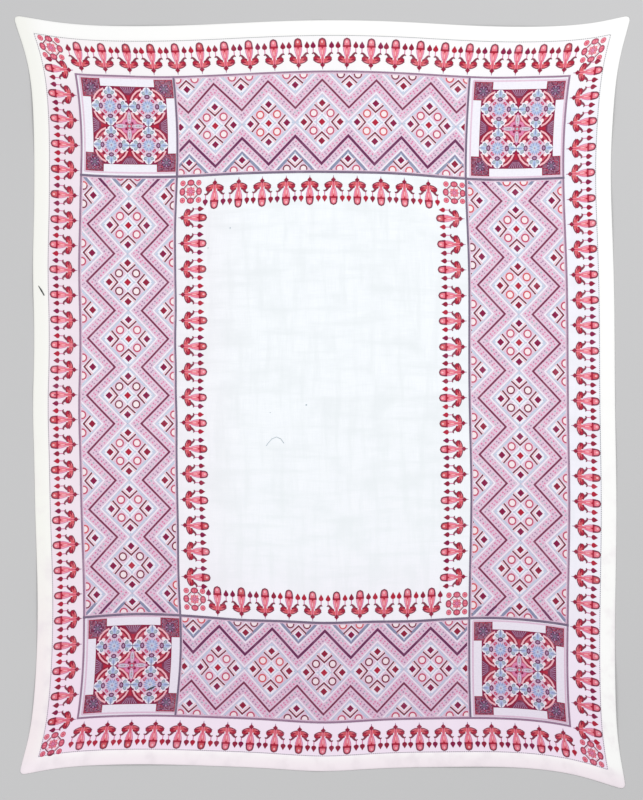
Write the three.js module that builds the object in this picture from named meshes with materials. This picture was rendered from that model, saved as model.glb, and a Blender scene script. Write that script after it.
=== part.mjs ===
import * as THREE from 'three';

// A hemmed tablecloth lying flat, face up. Millimetres, +Z up, with the table top at z = 0.

// The cloth between its straight cut edges, before its corners were pulled out of square.
const CLOTH_WIDTH = 1334;
const CLOTH_LENGTH = 1709;
const CLOTH_THICKNESS = 1.2;

// The hem is turned under twice, so it is thicker than the cloth, and its outer fold is rounded.
const HEM_WIDTH = 33;
const HEM_THICKNESS = 2.4;
const HEM_FOLD_THICKNESS = 1.5;
const HEM_FOLD_ROUND = 3;
const HEM_STEP = 4;
const CORNER_ROUND = 12;

// From the edges to the plain middle. The edges' bow runs through this border and fades over the middle.
const BORDER_WIDTH = 329;
const BORDER_LENGTH = 344;

// The widest cell of the net that the cloth is laid out on.
const CELL = 52;

// How far each corner is pulled past each edge that it ends, and how far along that edge the pull shows.
// end is 1 for the top or right end of the edge, and -1 for the bottom or left end.
const PULL_POINTEDNESS = 1.4;
const CORNER_PULLS = [
  { edge: 'left', end: 1, out: 47, reach: 100 },
  { edge: 'left', end: -1, out: 34, reach: 92 },
  { edge: 'right', end: 1, out: 36, reach: 95 },
  { edge: 'right', end: -1, out: 25, reach: 97 },
  { edge: 'top', end: -1, out: 21, reach: 94 },
  { edge: 'top', end: 1, out: 20, reach: 70 },
  { edge: 'bottom', end: -1, out: 18, reach: 71 },
  { edge: 'bottom', end: 1, out: 50, reach: 110 },
];

// The slow waves of each edge: the place along it from its middle, how far out, and half the length.
const EDGE_WAVES = [
  { edge: 'left', at: 295, out: 3, reach: 106 },
  { edge: 'left', at: -30, out: 3, reach: 95 },
  { edge: 'left', at: -480, out: -8, reach: 190 },
  { edge: 'right', at: 505, out: -9, reach: 188 },
  { edge: 'right', at: -245, out: 4, reach: 190 },
  { edge: 'top', at: -353, out: -9, reach: 277 },
  { edge: 'top', at: -24, out: 10, reach: 330 },
  { edge: 'top', at: 407, out: -9, reach: 204 },
  { edge: 'bottom', at: -404, out: -7, reach: 176 },
  { edge: 'bottom', at: 0, out: 9, reach: 118 },
  { edge: 'bottom', at: 376, out: -2, reach: 113 },
];

// Soft ripples where the cloth stands off the table: the place along the edge, half the ripple's width,
// how far in it runs, and its rise at the edge. The corners themselves lie down flat.
const RIPPLES = [
  { edge: 'left', at: 640, half: 120, depth: 190, rise: 3.5 },
  { edge: 'left', at: 250, half: 120, depth: 120, rise: 2 },
  { edge: 'left', at: -470, half: 150, depth: 150, rise: 3.5 },
  { edge: 'left', at: -690, half: 110, depth: 150, rise: 2.8 },
  { edge: 'right', at: 640, half: 120, depth: 180, rise: 4 },
  { edge: 'right', at: 420, half: 130, depth: 150, rise: 3 },
  { edge: 'right', at: -120, half: 130, depth: 110, rise: 1.8 },
  { edge: 'right', at: -650, half: 140, depth: 200, rise: 4.5 },
  { edge: 'top', at: -380, half: 140, depth: 130, rise: 2.6 },
  { edge: 'top', at: 400, half: 150, depth: 150, rise: 3 },
  { edge: 'bottom', at: -410, half: 150, depth: 140, rise: 3 },
  { edge: 'bottom', at: 330, half: 130, depth: 120, rise: 2 },
];

// The pressed lines where the cloth was folded away: one along it and one across it.
const CREASES = [
  { along: 'length', at: -15, half: 30, rise: 1 },
  { along: 'width', at: 9, half: 34, rise: 1.1 },
];

const HALF_WIDTH = CLOTH_WIDTH / 2;
const HALF_LENGTH = CLOTH_LENGTH / 2;

function halfAlong(edge) {
  return edge === 'left' || edge === 'right' ? HALF_LENGTH : HALF_WIDTH;
}

// How far an edge lies outside its straight cut line, at a place along it.
function edgeOut(edge, place) {
  let out = 0;
  for (const pull of CORNER_PULLS.filter((row) => row.edge === edge)) {
    const away = Math.abs(place - pull.end * halfAlong(edge)) / pull.reach;
    out += pull.out * Math.exp(-Math.pow(away, PULL_POINTEDNESS));
  }
  for (const wave of EDGE_WAVES.filter((row) => row.edge === edge)) {
    out += wave.out * Math.exp(-Math.pow((place - wave.at) / wave.reach, 2));
  }
  return out;
}

// A soft bump of height 1 that ends level at half its width.
function bump(away, half) {
  const share = Math.abs(away) / half;
  return share < 1 ? Math.pow(Math.cos((share * Math.PI) / 2), 2) : 0;
}

// The place along each edge, and the depth in from it, of a point of the flat cloth.
const FROM_EDGE = {
  left: (u, v) => ({ place: v, depth: HALF_WIDTH + u }),
  right: (u, v) => ({ place: v, depth: HALF_WIDTH - u }),
  top: (u, v) => ({ place: u, depth: HALF_LENGTH - v }),
  bottom: (u, v) => ({ place: u, depth: HALF_LENGTH + v }),
};

function liftOffTable(u, v) {
  let lift = 0;
  for (const ripple of RIPPLES) {
    const { place, depth } = FROM_EDGE[ripple.edge](u, v);
    lift += ripple.rise * bump(place - ripple.at, ripple.half) * bump(depth, ripple.depth);
  }
  for (const crease of CREASES) {
    lift += crease.rise * bump((crease.along === 'length' ? u : v) - crease.at, crease.half);
  }
  return lift;
}

function thickness(u, v) {
  const depth = Math.min(HALF_WIDTH - Math.abs(u), HALF_LENGTH - Math.abs(v));
  const fold = THREE.MathUtils.clamp(depth / HEM_FOLD_ROUND, 0, 1);
  const step = THREE.MathUtils.clamp((HEM_WIDTH - depth) / HEM_STEP, 0, 1);
  const hem = THREE.MathUtils.lerp(HEM_FOLD_THICKNESS, HEM_THICKNESS, fold);
  return THREE.MathUtils.lerp(CLOTH_THICKNESS, hem, step);
}

// How far a point near a corner is drawn in along one axis, so that the corner's square becomes round.
// past and pastOther are the point's distances into that square, along the axis and across it.
function cornerDraw(past, pastOther) {
  return past * (1 - Math.sqrt(1 - Math.pow(pastOther / CORNER_ROUND, 2) / 2));
}

function roundedCorner(u, v) {
  const pastU = Math.max(Math.abs(u) - (HALF_WIDTH - CORNER_ROUND), 0);
  const pastV = Math.max(Math.abs(v) - (HALF_LENGTH - CORNER_ROUND), 0);
  return {
    x: u - Math.sign(u) * cornerDraw(pastU, pastV),
    y: v - Math.sign(v) * cornerDraw(pastV, pastU),
  };
}

// The share of the far edge's bow at a place: none in the near border, all of it in the far border.
function bowShare(place, innerHalf) {
  return THREE.MathUtils.smoothstep(place, -innerHalf, innerHalf);
}

// Where a point of the flat cloth lies on the table.
function laidOut(u, v) {
  const flat = roundedCorner(u, v);
  const right = bowShare(u, HALF_WIDTH - BORDER_WIDTH);
  const top = bowShare(v, HALF_LENGTH - BORDER_LENGTH);
  const x = flat.x + right * edgeOut('right', v) - (1 - right) * edgeOut('left', v);
  const y = flat.y + top * edgeOut('top', u) - (1 - top) * edgeOut('bottom', u);
  return { x, y };
}

// The net's lines in one direction: both hems' folds, rounds and steps, the crease, and even cells between.
function netLines(half, crease) {
  const hem = [0, HEM_FOLD_ROUND, CORNER_ROUND, HEM_WIDTH - HEM_STEP, HEM_WIDTH];
  const left = hem.map((depth) => depth - half);
  const right = hem.map((depth) => half - depth).reverse();
  const middle = [crease.at - crease.half, crease.at, crease.at + crease.half];
  const keys = [...left, ...middle, ...right];
  const lines = [keys[0]];
  for (let i = 1; i < keys.length; i += 1) {
    const cells = Math.ceil((keys[i] - keys[i - 1]) / CELL);
    for (let k = 1; k <= cells; k += 1) {
      lines.push(THREE.MathUtils.lerp(keys[i - 1], keys[i], k / cells));
    }
  }
  return lines;
}

// The numbers of the net's outermost points, in order round the cloth.
function rimOfNet(columns, rows) {
  const rim = [];
  for (let column = 0; column < columns - 1; column += 1) {
    rim.push(column);
  }
  for (let row = 0; row < rows - 1; row += 1) {
    rim.push(row * columns + columns - 1);
  }
  for (let column = columns - 1; column > 0; column -= 1) {
    rim.push((rows - 1) * columns + column);
  }
  for (let row = rows - 1; row > 0; row -= 1) {
    rim.push(row * columns);
  }
  return rim;
}

function clothGeometry() {
  const across = netLines(HALF_WIDTH, CREASES[0]);
  const along = netLines(HALF_LENGTH, CREASES[1]);
  const columns = across.length;
  const rows = along.length;
  const upper = [];
  const under = [];
  for (const v of along) {
    for (const u of across) {
      const { x, y } = laidOut(u, v);
      const lift = liftOffTable(u, v);
      upper.push(x, y, lift + thickness(u, v));
      under.push(x, y, lift);
    }
  }

  const underStart = columns * rows;
  const faces = [];
  for (let row = 0; row < rows - 1; row += 1) {
    for (let column = 0; column < columns - 1; column += 1) {
      const a = row * columns + column;
      const b = a + 1;
      const c = b + columns;
      const d = a + columns;
      faces.push(a, b, c, a, c, d);
      faces.push(underStart + a, underStart + c, underStart + b);
      faces.push(underStart + a, underStart + d, underStart + c);
    }
  }

  const rim = rimOfNet(columns, rows);
  rim.forEach((here, i) => {
    const next = rim[(i + 1) % rim.length];
    faces.push(underStart + here, underStart + next, next);
    faces.push(underStart + here, next, here);
  });

  const geometry = new THREE.BufferGeometry();
  geometry.setAttribute('position', new THREE.Float32BufferAttribute([...upper, ...under], 3));
  geometry.setIndex(faces);

  // The origin goes under the middle of the cloth's box.
  geometry.computeBoundingBox();
  const middle = geometry.boundingBox.getCenter(new THREE.Vector3());
  geometry.translate(-middle.x, -middle.y, 0);
  geometry.computeVertexNormals();
  return geometry;
}

const whiteCloth = new THREE.MeshStandardMaterial({ color: 0xf0edf2, roughness: 0.92, metalness: 0 });

const cloth = new THREE.Mesh(clothGeometry(), whiteCloth);
cloth.name = 'cloth';

const tablecloth = new THREE.Group();
tablecloth.add(cloth);

export default tablecloth;
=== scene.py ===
import math

import bpy
import numpy as np
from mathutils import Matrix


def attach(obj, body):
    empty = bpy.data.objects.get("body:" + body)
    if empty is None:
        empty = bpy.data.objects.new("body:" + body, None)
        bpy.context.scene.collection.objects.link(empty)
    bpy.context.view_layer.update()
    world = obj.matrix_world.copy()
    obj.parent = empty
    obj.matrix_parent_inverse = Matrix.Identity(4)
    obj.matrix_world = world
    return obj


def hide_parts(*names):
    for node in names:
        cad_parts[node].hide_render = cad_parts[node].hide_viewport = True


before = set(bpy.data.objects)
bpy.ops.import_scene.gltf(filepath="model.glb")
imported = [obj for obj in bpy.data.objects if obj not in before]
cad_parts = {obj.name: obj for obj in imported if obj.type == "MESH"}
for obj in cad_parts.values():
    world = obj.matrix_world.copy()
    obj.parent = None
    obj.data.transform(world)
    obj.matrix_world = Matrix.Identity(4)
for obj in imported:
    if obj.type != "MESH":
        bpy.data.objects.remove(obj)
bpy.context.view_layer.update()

# A hemmed tablecloth lying flat, face up. Sizes are in millimetres, and MM makes metres of them.
MM = 0.001

# The cloth between its straight cut edges, before its corners were pulled out of square.
CLOTH_WIDTH = 1334
CLOTH_LENGTH = 1709
HALF_WIDTH = CLOTH_WIDTH / 2
HALF_LENGTH = CLOTH_LENGTH / 2
CLOTH_THICKNESS = 1.2

# The hem is turned under twice, and its outer fold is rounded.
HEM_WIDTH = 33
HEM_THICKNESS = 2.4
HEM_FOLD_THICKNESS = 1.5
HEM_FOLD_ROUND = 3
HEM_STEP = 4
FOLD_BULGE = 0.5
CORNER_ROUND = 12

# From the edges to the plain middle. The edges' waves run through this border and fade over the middle.
BORDER_WIDTH = 329
BORDER_LENGTH = 344

# How far each corner is pulled past an edge: edge, end of that edge, how far out, and its reach along it.
PULL_POINTEDNESS = 1.4
CORNER_PULLS = [
    ("left", 1, 47, 100),
    ("left", -1, 34, 92),
    ("right", 1, 36, 95),
    ("right", -1, 25, 97),
    ("top", -1, 21, 94),
    ("top", 1, 20, 70),
    ("bottom", -1, 18, 71),
    ("bottom", 1, 50, 110),
]

# The slow waves of each edge: edge, place along it from its middle, how far out, and half the length.
EDGE_WAVES = [
    ("left", 295, 3, 106),
    ("left", -30, 3, 95),
    ("left", -480, -8, 190),
    ("right", 505, -9, 188),
    ("right", -245, 4, 190),
    ("top", -353, -9, 277),
    ("top", -24, 10, 330),
    ("top", 407, -9, 204),
    ("bottom", -404, -7, 176),
    ("bottom", 0, 9, 118),
    ("bottom", 376, -2, 113),
]

# The places of the frame's lines in the flat cloth, as they run along it and across it.
OUTER_LEFT, INNER_LEFT, INNER_RIGHT, OUTER_RIGHT = -561.0, -340.0, 332.5, 559.0
OUTER_TOP, INNER_TOP, INNER_BOTTOM, OUTER_BOTTOM = 737.0, 507.0, -514.0, -743.0

# Where the frame's lines wander by themselves. For each line: the way it runs, its place, and its moves: the
# place along it, how far to the right or up it is moved there, and half the length. A move takes the cloth
# with it this far on both sides of the line.
WANDER_HALF = 100
WANDERS = [
    ("length", OUTER_LEFT, [(587, 3.2, 90), (-620, 2.0, 90)]),
    ("length", INNER_LEFT, [(590, 2.2, 90), (400, -2.2, 70), (128, -2.8, 60)]),
    ("length", INNER_LEFT, [(-56, 2.6, 60), (-420, -3.0, 90), (-610, 4.2, 100)]),
    ("length", INNER_RIGHT, [(360, 2.8, 180), (-200, 1.3, 150)]),
    ("length", OUTER_RIGHT, [(620, -2.3, 110), (-620, -1.4, 110)]),
    ("width", OUTER_TOP, [(-470, 2.6, 80), (480, 2.2, 80)]),
    ("width", INNER_TOP, [(-440, 1.4, 100), (-220, 2.4, 110), (60, -1.3, 90), (360, -3.8, 140)]),
    ("width", INNER_BOTTOM, [(-440, 4.4, 120), (-185, -3.6, 80), (185, -4.8, 90), (390, 1.4, 80)]),
]

# Where the cloth stands off the table: edge, place along it, half the ripple's width, depth in, and rise.
RIPPLES = [
    ("left", 640, 120, 190, 3.5),
    ("left", 250, 120, 120, 2.0),
    ("left", -470, 150, 150, 3.5),
    ("left", -690, 110, 150, 2.8),
    ("right", 640, 120, 180, 4.0),
    ("right", 420, 130, 150, 3.0),
    ("right", -120, 130, 110, 1.8),
    ("right", -650, 140, 200, 4.5),
    ("top", -380, 140, 130, 2.6),
    ("top", 400, 150, 150, 3.0),
    ("bottom", -410, 150, 140, 3.0),
    ("bottom", 330, 130, 120, 2.0),
]

# The pressed lines where the cloth was folded away: the way they run, place, half width and rise.
CREASES = [
    ("length", -15, 30, 1.0),
    ("width", 9, 34, 1.1),
]

# The dents across the hem where its turning was joined or creased: edge, place along it, and depth.
HEM_DENT_HALF = 6
HEM_DENTS = [
    ("bottom", -183, 0.9),
    ("bottom", 15, 0.6),
    ("bottom", 216, 0.8),
    ("top", -26, 0.6),
    ("left", -229, 0.6),
    ("right", 575, 0.7),
    ("right", 362, 0.6),
]

# The hem's fine puckers along its stitches: length of a pucker and its rise.
PUCKERS = [(41, 0.10), (27, 0.08), (19, 0.05)]


def corner_out(edge, place):
    """How far the pulled corners draw an edge outside its straight cut line, at places along it."""
    half = HALF_LENGTH if edge in ("left", "right") else HALF_WIDTH
    out = np.zeros_like(place)
    for name, end, pull, reach in CORNER_PULLS:
        if name == edge:
            away = np.abs(place - end * half) / reach
            out += pull * np.exp(-(away**PULL_POINTEDNESS))
    return out


def wave_out(edge, place):
    """How far the slow waves carry an edge outside its straight cut line, at places along it."""
    out = np.zeros_like(place)
    for name, at, rise, reach in EDGE_WAVES:
        if name == edge:
            out += rise * np.exp(-(((place - at) / reach) ** 2))
    return out


def bump(away, half):
    """A soft bump of height 1 that ends level at half its width."""
    share = np.minimum(np.abs(away) / half, 1)
    return np.cos(share * math.pi / 2) ** 2


def smooth(place, low, high):
    share = np.clip((place - low) / (high - low), 0, 1)
    return share * share * (3 - 2 * share)


def from_edge(edge, u, v):
    """The place along an edge, and the depth in from it, of points of the flat cloth."""
    return {
        "left": (v, HALF_WIDTH + u),
        "right": (v, HALF_WIDTH - u),
        "top": (u, HALF_LENGTH - v),
        "bottom": (u, HALF_LENGTH + v),
    }[edge]


def hem_depth(u, v):
    return np.minimum(HALF_WIDTH - np.abs(u), HALF_LENGTH - np.abs(v))


def lift_off_table(u, v):
    lift = np.zeros_like(u)
    for edge, at, half, depth, rise in RIPPLES:
        place, inward = from_edge(edge, u, v)
        lift += rise * bump(place - at, half) * bump(inward, depth)
    for runs, at, half, rise in CREASES:
        lift += rise * bump((u if runs == "length" else v) - at, half)
    return lift


def thickness(u, v):
    depth = hem_depth(u, v)
    fold = np.clip(depth / HEM_FOLD_ROUND, 0, 1)
    hem = HEM_FOLD_THICKNESS + (HEM_THICKNESS - HEM_FOLD_THICKNESS) * fold
    for edge, at, dent in HEM_DENTS:
        place, inward = from_edge(edge, u, v)
        hem = hem - dent * bump(place - at, HEM_DENT_HALF) * (inward < HEM_WIDTH)
    along = np.where(HALF_WIDTH - np.abs(u) < HALF_LENGTH - np.abs(v), v, u)
    for length, rise in PUCKERS:
        hem = hem + rise * np.sin(2 * math.pi * along / length) * bump(depth - HEM_WIDTH, HEM_WIDTH)
    step = np.clip((HEM_WIDTH - depth) / HEM_STEP, 0, 1)
    return CLOTH_THICKNESS + (hem - CLOTH_THICKNESS) * step


def corner_draw(past, past_other):
    """How far points in a corner's square are drawn in along one axis, so that the corner is round."""
    return past * (1 - np.sqrt(1 - np.clip(past_other / CORNER_ROUND, 0, 1) ** 2 / 2))


def laid_out(u, v):
    """Where points of the flat cloth lie on the table, before the cloth's middle is moved to the origin."""
    past_u = np.clip(np.abs(u) - (HALF_WIDTH - CORNER_ROUND), 0, None)
    past_v = np.clip(np.abs(v) - (HALF_LENGTH - CORNER_ROUND), 0, None)
    x = u - np.sign(u) * corner_draw(past_u, past_v)
    y = v - np.sign(v) * corner_draw(past_v, past_u)
    right = smooth(u, BORDER_WIDTH - HALF_WIDTH, HALF_WIDTH - BORDER_WIDTH)
    top = smooth(v, BORDER_LENGTH - HALF_LENGTH, HALF_LENGTH - BORDER_LENGTH)
    x = x + right * wave_out("right", v) - (1 - right) * wave_out("left", v)
    y = y + top * wave_out("top", u) - (1 - top) * wave_out("bottom", u)
    to_right = (u + HALF_WIDTH) / CLOTH_WIDTH
    to_top = (v + HALF_LENGTH) / CLOTH_LENGTH
    x = x + to_right * corner_out("right", v) - (1 - to_right) * corner_out("left", v)
    y = y + to_top * corner_out("top", u) - (1 - to_top) * corner_out("bottom", u)
    for runs, line, moves in WANDERS:
        along, across = (v, u) if runs == "length" else (u, v)
        for at, move, reach in moves:
            moved_by = move * np.exp(-(((along - at) / reach) ** 2)) * bump(across - line, WANDER_HALF)
            if runs == "length":
                x = x + moved_by
            else:
                y = y + moved_by
    return x, y


# The net of the cloth's mesh: the widest cell, and the extra lines beside each dent of the hem.
CELL = 8.0
DENT_LINES = range(-HEM_DENT_HALF, HEM_DENT_HALF + 1, 2)


def net_lines(half, dents):
    """The net's lines in one direction: both hems' folds and steps, the dents, and even cells between."""
    hem = [*range(HEM_FOLD_ROUND + 1), CORNER_ROUND]
    hem += [HEM_WIDTH - HEM_STEP, HEM_WIDTH - HEM_STEP / 2, HEM_WIDTH]
    keys = [depth - half for depth in hem] + [half - depth for depth in hem]
    keys += [at + line for at in dents for line in DENT_LINES]
    keys = sorted(keys)
    lines = [keys[0]]
    for low, high in zip(keys, keys[1:]):
        cells = math.ceil((high - low) / CELL)
        lines += [low + (high - low) * k / cells for k in range(1, cells + 1)]
    return np.array(lines)


ACROSS = net_lines(HALF_WIDTH, [at for edge, at, _ in HEM_DENTS if edge in ("top", "bottom")])
ALONG = net_lines(HALF_LENGTH, [at for edge, at, _ in HEM_DENTS if edge in ("left", "right")])
NET_U, NET_V = (grid.ravel() for grid in np.meshgrid(ACROSS, ALONG))
NET_X, NET_Y = laid_out(NET_U, NET_V)
MIDDLE_X = (NET_X.min() + NET_X.max()) / 2
MIDDLE_Y = (NET_Y.min() + NET_Y.max()) / 2


def on_cloth(u, v, above):
    """Points in metres on the upper face of the cloth as it lies, that far above it."""
    x, y = laid_out(u, v)
    z = lift_off_table(u, v) + thickness(u, v) + above
    return np.column_stack([x - MIDDLE_X, y - MIDDLE_Y, z]) * MM


# Stitches: the pattern is charted on a square count of this many millimetres.
STITCH = 2.3

# The pattern's threads stand this far above the ground weave, and each level that much more.
PROUD = 0.2
LEVEL = 0.04

# The thread colours, as red, green and blue out of 255.
COLOURS = {
    "white": (241, 239, 248),
    "cream": (246, 233, 236),
    "blush": (227, 199, 219),
    "pale_pink": (246, 188, 196),
    "pink": (240, 128, 144),
    "hot_pink": (224, 132, 174),
    "salmon": (216, 92, 100),
    "rose": (200, 84, 112),
    "red": (182, 34, 60),
    "dark_red": (150, 32, 62),
    "brown": (134, 58, 78),
    "maroon": (138, 26, 72),
    "zigzag_maroon": (126, 50, 82),
    "purple": (110, 46, 90),
    "mauve": (176, 138, 172),
    "frame_mauve": (156, 126, 152),
    "slate": (122, 108, 132),
    "lattice_blue": (198, 209, 228),
    "steel_blue": (138, 146, 174),
    "sky_blue": (172, 190, 230),
    "grey_green": (172, 188, 196),
    "hem_grey": (152, 158, 158),
    "dark": (58, 62, 60),
}

# The draws of uneven stitches and of thread colours start from this number, so that they stay the same.
FIRST_DRAW = 41
chance = np.random.default_rng(FIRST_DRAW)
threads = {name: [] for name in COLOURS}


def shape(thread, level, points):
    return thread, level, np.array(points, dtype=float)


def diamond(thread, level, x, y, half_x, half_y):
    return shape(thread, level, [(x + half_x, y), (x, y + half_y), (x - half_x, y), (x, y - half_y)])


def rectangle(low_x, high_x, low_y, high_y):
    return np.array([(low_x, low_y), (high_x, low_y), (high_x, high_y), (low_x, high_y)], dtype=float)


def block(thread, level, x, y, half_x, half_y):
    return shape(thread, level, rectangle(x - half_x, x + half_x, y - half_y, y + half_y))


def round_points(x, y, radius_x, radius_y, sides, turn=0.0):
    angles = turn + np.arange(sides) * 2 * math.pi / sides
    return np.column_stack([x + radius_x * np.cos(angles), y + radius_y * np.sin(angles)])


def oval(thread, level, x, y, radius_x, radius_y, sides=12, lean=0.0):
    points = round_points(0, 0, radius_x, radius_y, sides)
    cos, sin = math.cos(lean), math.sin(lean)
    return shape(thread, level, points @ np.array([[cos, sin], [-sin, cos]]) + (x, y))


def ring(thread, level, x, y, outer, inner, sides):
    far = round_points(x, y, outer, outer, sides)
    near = round_points(x, y, inner, inner, sides)
    far_next, near_next = np.roll(far, -1, axis=0), np.roll(near, -1, axis=0)
    return [shape(thread, level, corners) for corners in zip(far, far_next, near_next, near)]


def strip(thread, level, line, widths):
    """A thread laid along a line, of one width or of one at each point."""
    line = np.array(line, dtype=float)
    ways = np.gradient(line, axis=0)
    ways /= np.linalg.norm(ways, axis=1)[:, None]
    aside = np.column_stack([-ways[:, 1], ways[:, 0]]) * (np.broadcast_to(widths, len(line)) / 2)[:, None]
    left, right = line + aside, line - aside
    return [shape(thread, level, corners) for corners in zip(left, left[1:], right[1:], right)]


def changed(chart, change):
    """The chart with the outline of each of its shapes changed in the same way."""
    return [(thread, level, change(points)) for thread, level, points in chart]


def mirrored(chart):
    return chart + changed(chart, lambda points: points * (-1, 1))


def both_sides(thread, level, half):
    """One shape from the outline of its right half, listed from its top to its foot."""
    half = np.array(half, dtype=float)
    other = half[half[:, 0] > 0][::-1] * (-1, 1)
    return shape(thread, level, np.vstack([half, other]))


def chevron(thread, level, foot, end, wide):
    """Two slanting threads that meet in a V on the axis: the height of its foot, and its right end."""
    rise, tilt = wide / math.sqrt(2), wide / math.sqrt(8)
    x, y = end
    arm = [(0, foot - rise), (x + tilt, y - tilt), (x - tilt, y + tilt), (0, foot + rise)]
    return mirrored([shape(thread, level, arm)])


def moved(chart, x, y):
    return changed(chart, lambda points: points + (x, y))


def quarter_turns(quarters):
    """What points are multiplied by to turn them by so many quarters of a circle."""
    cos, sin = [(1, 0), (0, 1), (-1, 0), (0, -1)][quarters % 4]
    return np.array([[cos, sin], [-sin, cos]])


def turned(chart, quarters):
    return changed(chart, lambda points: points @ quarter_turns(quarters))


def all_round(chart):
    return [piece for quarters in range(4) for piece in turned(chart, quarters)]


def cut_to(points, window):
    """The part of a shape that lies inside a window of the cloth: low u, high u, low v and high v."""
    for axis, side, limit in ((0, 1, window[0]), (0, -1, window[1]), (1, 1, window[2]), (1, -1, window[3])):
        inside = side * (points[:, axis] - limit)
        if (inside >= 0).all():
            continue
        kept = []
        for i in range(len(points)):
            here, after = inside[i - 1], inside[i]
            if (here >= 0) != (after >= 0):
                kept.append(points[i - 1] + (points[i] - points[i - 1]) * here / (here - after))
            if after >= 0:
                kept.append(points[i])
        if len(kept) < 3:
            return None
        points = np.array(kept)
    return points


# Wide shapes are worked in cells no wider than this, so that they follow the lie of the cloth.
SHAPE_CELL = 12.0


def lay(thread, level, points, window=None):
    """Lays one shape of thread on the cloth, cut off by its window, and in cells where it is wide."""
    if window is not None:
        points = cut_to(points, window)
    if points is None:
        return
    low, high = points.min(axis=0), points.max(axis=0)
    columns, rows = np.ceil((high - low) / SHAPE_CELL).astype(int)
    if columns <= 1 and rows <= 1:
        threads[thread].append((points, level))
        return
    us = np.linspace(low[0], high[0], columns + 1)
    vs = np.linspace(low[1], high[1], rows + 1)
    for left, right in zip(us, us[1:]):
        column = cut_to(points, (left, right, low[1], high[1]))
        if column is None:
            continue
        for under, over in zip(vs, vs[1:]):
            cell = cut_to(column, (left, right, under, over))
            if cell is not None:
                threads[thread].append((cell, level))


def work(chart, at, stitch=(STITCH, STITCH), quarters=0, window=None):
    """Works a chart into the cloth: its place, the size of its stitches, its turn, and what cuts it off."""
    for thread, level, points in chart:
        lay(thread, level, (points * stitch) @ quarter_turns(quarters) + at, window)


def uneven(size):
    return chance.uniform(-size, size, 2)


def field(thread, level, low_u, high_u, low_v, high_v):
    lay(thread, level, rectangle(low_u, high_u, low_v, high_v))


def straight_thread(thread, level, runs, place, low, high, half):
    """A thread that runs straight across or along the cloth: its place, its two ends, and half its width."""
    if runs == "width":
        field(thread, level, low, high, place - half, place + half)
    else:
        field(thread, level, place - half, place + half, low, high)


# The frame's lines in pairs: thread, the way they run, places, low and high end, and widths in stitches.
FRAME_LINES = [
    ("frame_mauve", "length", (OUTER_LEFT, OUTER_RIGHT), (OUTER_BOTTOM, OUTER_TOP), (1.9, 1.9)),
    ("slate", "length", (INNER_LEFT, INNER_RIGHT), (OUTER_BOTTOM, OUTER_TOP), (1.9, 1.9)),
    ("frame_mauve", "width", (OUTER_TOP, OUTER_BOTTOM), (OUTER_LEFT, OUTER_RIGHT), (1.8, 1.9)),
    ("slate", "width", (INNER_TOP, INNER_BOTTOM), (OUTER_LEFT, OUTER_RIGHT), (2.3, 2.3)),
]
FRAME_LEVEL = 10


def frame_lines():
    for thread, runs, places, (low, high), widths in FRAME_LINES:
        level = FRAME_LEVEL + 1 if runs == "width" else FRAME_LEVEL
        for place, width in zip(places, widths):
            half = width * STITCH / 2
            straight_thread(thread, level, runs, place, low - half, high + half, half)


# The bud, in stitches from the end of its spike: the tip and band of its head, and its spades' distance out.
BUD_TALL = 30.6
BUD_BAND = 22.5
SPADE_OUT = 8.7
BUD_BODY = [(3.6, 21.6), (3.4, 18.6), (2.6, 15.4), (1.6, 12.2)]
SPADE = [(0, 27.3), (1.1, 25.4), (2.2, 23.7), (2.5, 22.5), (1.9, 21.2), (0, 20.3)]
LEAF_END = [
    (2.3, 12.2), (4.9, 13.5), (7.4, 13.1), (8.9, 11.3),
    (8.7, 9.4), (6.8, 8.5), (4.7, 8.6), (2.5, 9.9),
]
LEAF_FOOT = [(1.2, 10.6), (4.0, 9.6), (8.6, 9.8), (7.0, 7.9), (4.4, 6.6), (1.3, 6.0)]
LEAF_VEIN = [(7.2, 8.7), (5.4, 7.9), (3.4, 7.4)]
LEAF_LINE = [(8.8, 9.6), (7.0, 7.7), (4.4, 6.4), (1.5, 5.8)]
HOOK_LINE = [(5.2, 12.6), (6.4, 14.3), (7.6, 15.6), (8.8, 16.0), (9.9, 15.1)]
HOOK_WIDTHS = [2.5, 2.2, 1.9, 1.6, 0.9]

# How far a bud may stand off its place, in millimetres, and the shares of its width that it may be worked in.
BUD_OFF = 0.5
BUD_WIDTHS = (0.98, 1.04)

# The threads that a bud's spades and head may be worked in.
SPADE_THREADS = ("dark_red", "red", "dark_red", "maroon")
HEAD_THREADS = ("pink", "salmon", "pink", "pink")

# The round of a bud's head: the points on each side, and how straight its sides and how blunt its tip are.
DOME_CUTS = 9
DOME_SIDE = 3.4
DOME_TIP = 0.46


def dome(thread, level, foot, half, tip):
    up = np.linspace(1, 0, DOME_CUTS)
    out = half * (1 - up**DOME_SIDE) ** DOME_TIP
    return both_sides(thread, level, np.column_stack([out, foot + (tip - foot) * up]))


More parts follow.
